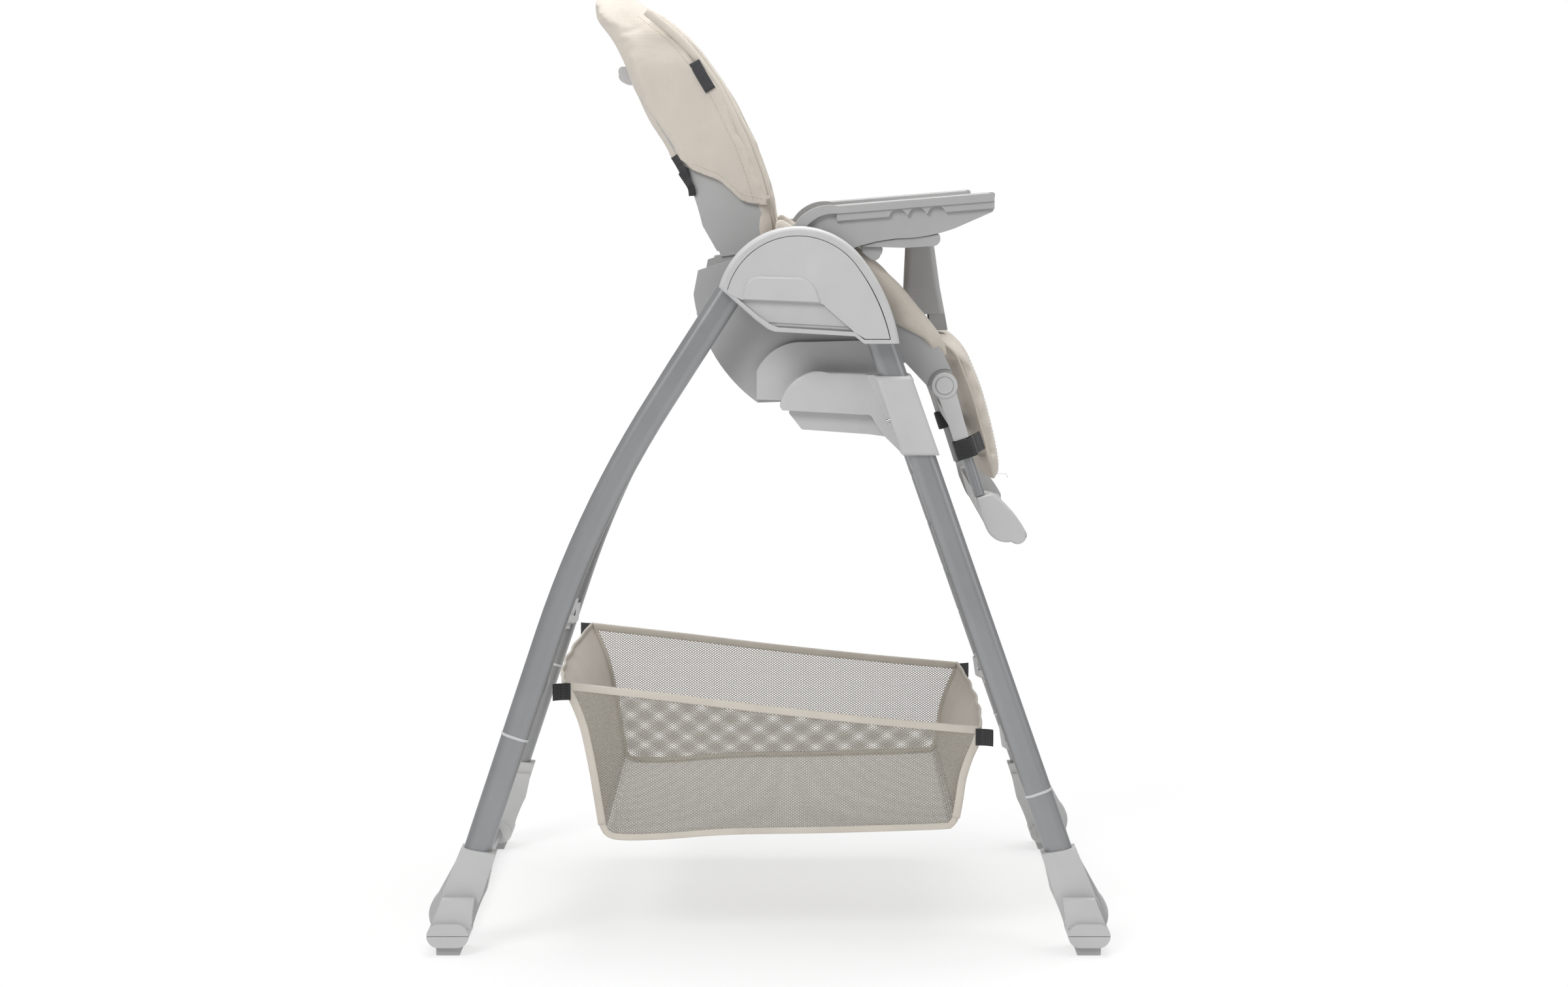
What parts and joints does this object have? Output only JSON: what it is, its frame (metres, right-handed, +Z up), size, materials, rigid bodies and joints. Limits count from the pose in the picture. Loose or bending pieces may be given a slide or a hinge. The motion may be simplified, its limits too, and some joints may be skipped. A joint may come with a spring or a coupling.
{
  "type": "baby high chair",
  "caption": "Folding high chair for a baby: A-frame legs, seat on height carriages, reclining padded back, armrests, leg rest and a mesh basket underneath.",
  "frame": {"origin": "on the floor, midway between the front and rear feet and between the two side frames", "axes": "+X is the way the child faces, +Z is up, and the right hand of the child is at -Y"},
  "size_m": [0.7498, 0.574, 1.05],
  "materials": {
    "tube_paint": "satin",
    "trim_ring": "satin",
    "light_plastic": "fine moulded texture",
    "lever_plastic": "fine moulded texture",
    "mid_plastic": "fine moulded texture",
    "steel": "zinc plated",
    "pad_rubber": "matte",
    "seat_fabric": "soft plain weave",
    "mesh_fabric": "open mesh with bound edges",
    "webbing": "flat woven webbing",
    "dark_plastic": "matte"
  },
  "bodies": {
    "front_frame": {"front_leg_right": "tube_paint", "front_leg_left": "tube_paint", "front_leg_rings": "trim_ring", "front_foot_right": "light_plastic", "front_foot_left": "light_plastic", "front_foot_pads": "pad_rubber", "front_cross_tube": "tube_paint", "hinge_rim_right": "light_plastic", "hinge_rim_left": "light_plastic", "hinge_cover_right": "light_plastic", "hinge_cover_left": "light_plastic", "hinge_plates": "mid_plastic", "hinge_pins": "steel", "basket_hooks_front": "light_plastic", "basket": "mesh_fabric", "basket_webbing": "webbing"},
    "rear_frame": {"rear_leg_right": "tube_paint", "rear_leg_left": "tube_paint", "rear_leg_rings": "trim_ring", "rear_foot_right": "light_plastic", "rear_foot_left": "light_plastic", "rear_foot_pads": "pad_rubber", "rear_cross_tube": "tube_paint", "basket_hooks_rear": "light_plastic"},
    "seat": {"seat_shell": "mid_plastic", "seat_underside": "mid_plastic", "carriage_right": "light_plastic", "carriage_left": "light_plastic", "arm_right": "light_plastic", "arm_left": "light_plastic", "arm_covers": "light_plastic", "arm_screws": "steel", "cross_bar": "mid_plastic", "crotch_post": "mid_plastic", "seat_cushion": "seat_fabric", "side_pad_right": "seat_fabric", "side_pad_left": "seat_fabric", "lap_harness": "webbing", "back_pins": "steel"},
    "back": {"back_shell": "mid_plastic", "back_cover": "seat_fabric", "back_cushion": "seat_fabric", "strap_sliders": "dark_plastic", "shoulder_harness": "webbing"},
    "leg_rest": {"legrest_sockets": "light_plastic", "legrest_panel": "mid_plastic", "legrest_cushion": "seat_fabric", "legrest_straps": "webbing"},
    "foot_rest": {"footrest_tubes": "tube_paint", "footplate": "light_plastic"},
    "fold_lever_r": {"fold_lever_right": "lever_plastic"},
    "fold_lever_l": {"fold_lever_left": "lever_plastic"},
    "height_lever_r": {"height_lever_right": "lever_plastic"},
    "height_lever_l": {"height_lever_left": "lever_plastic"},
    "lock_pin_r": {"lock_pin_right": "steel"},
    "lock_pin_l": {"lock_pin_left": "steel"},
    "recline_handle": {"recline_handle": "light_plastic"},
    "recline_rod": {"recline_rod": "steel"},
    "button_r": {"legrest_button_right": "light_plastic"},
    "button_l": {"legrest_button_left": "light_plastic"}
  },
  "joints": [
    {"name": "fold", "type": "hinge", "parent": "front_frame", "child": "rear_frame", "pos_m": [-0.0216, 0, 0.7549], "axis": [0, -1, 0], "range_deg": [0, 44]},
    {"name": "seat_height", "type": "slide", "parent": "front_frame", "child": "seat", "axis": [0.3322, 0, -0.9432], "range_m": [0, 0.3]},
    {"name": "recline", "type": "hinge", "parent": "seat", "child": "back", "pos_m": [-0.015, 0, 0.712], "axis": [0, -1, 0], "range_deg": [0, 35]},
    {"name": "leg_rest_tilt", "type": "hinge", "parent": "seat", "child": "leg_rest", "pos_m": [0.193, 0, 0.621], "axis": [0, -1, 0], "range_deg": [0, 65]},
    {"name": "foot_rest_reach", "type": "slide", "parent": "leg_rest", "child": "foot_rest", "axis": [0.309, 0, -0.9511], "range_m": [0, 0.04]},
    {"name": "recline_pull", "type": "slide", "parent": "back", "child": "recline_handle", "axis": [-0.356, 0, 0.9345], "range_m": [0, 0.008], "stiffness_N_per_m": 400, "springref_m": -0.006},
    {"name": "recline_rod_slide", "type": "slide", "parent": "back", "child": "recline_rod", "axis": [-0.356, 0, 0.9345], "range_m": [-0.0001, 0.0081]},
    {"name": "fold_release_right", "type": "slide", "parent": "front_frame", "child": "fold_lever_r", "axis": [0, 0, 1], "range_m": [0, 0.007], "stiffness_N_per_m": 300, "springref_m": -0.006},
    {"name": "height_release_right", "type": "slide", "parent": "seat", "child": "height_lever_r", "axis": [0, 0, 1], "range_m": [0, 0.006], "stiffness_N_per_m": 300, "springref_m": -0.006},
    {"name": "lock_pin_right_slide", "type": "slide", "parent": "seat", "child": "lock_pin_r", "axis": [-0.9432, 0, -0.3322], "range_m": [-0.0001, 0.0051]},
    {"name": "leg_rest_button_right_push", "type": "slide", "parent": "leg_rest", "child": "button_r", "axis": [0, 1, 0], "range_m": [0, 0.0025], "stiffness_N_per_m": 500, "springref_m": -0.002},
    {"name": "fold_release_left", "type": "slide", "parent": "front_frame", "child": "fold_lever_l", "axis": [0, 0, 1], "range_m": [0, 0.007], "stiffness_N_per_m": 300, "springref_m": -0.006},
    {"name": "height_release_left", "type": "slide", "parent": "seat", "child": "height_lever_l", "axis": [0, 0, 1], "range_m": [0, 0.006], "stiffness_N_per_m": 300, "springref_m": -0.006},
    {"name": "lock_pin_left_slide", "type": "slide", "parent": "seat", "child": "lock_pin_l", "axis": [-0.9432, 0, -0.3322], "range_m": [-0.0001, 0.0051]},
    {"name": "leg_rest_button_left_push", "type": "slide", "parent": "leg_rest", "child": "button_l", "axis": [0, -1, 0], "range_m": [0, 0.0025], "stiffness_N_per_m": 500, "springref_m": -0.002}
  ],
  "couplings": [
    {"joint": "recline_rod_slide", "follows": "recline_pull", "ratio": 1},
    {"joint": "lock_pin_right_slide", "follows": "height_release_right", "ratio": 0.8333},
    {"joint": "lock_pin_left_slide", "follows": "height_release_left", "ratio": 0.8333}
  ]
}
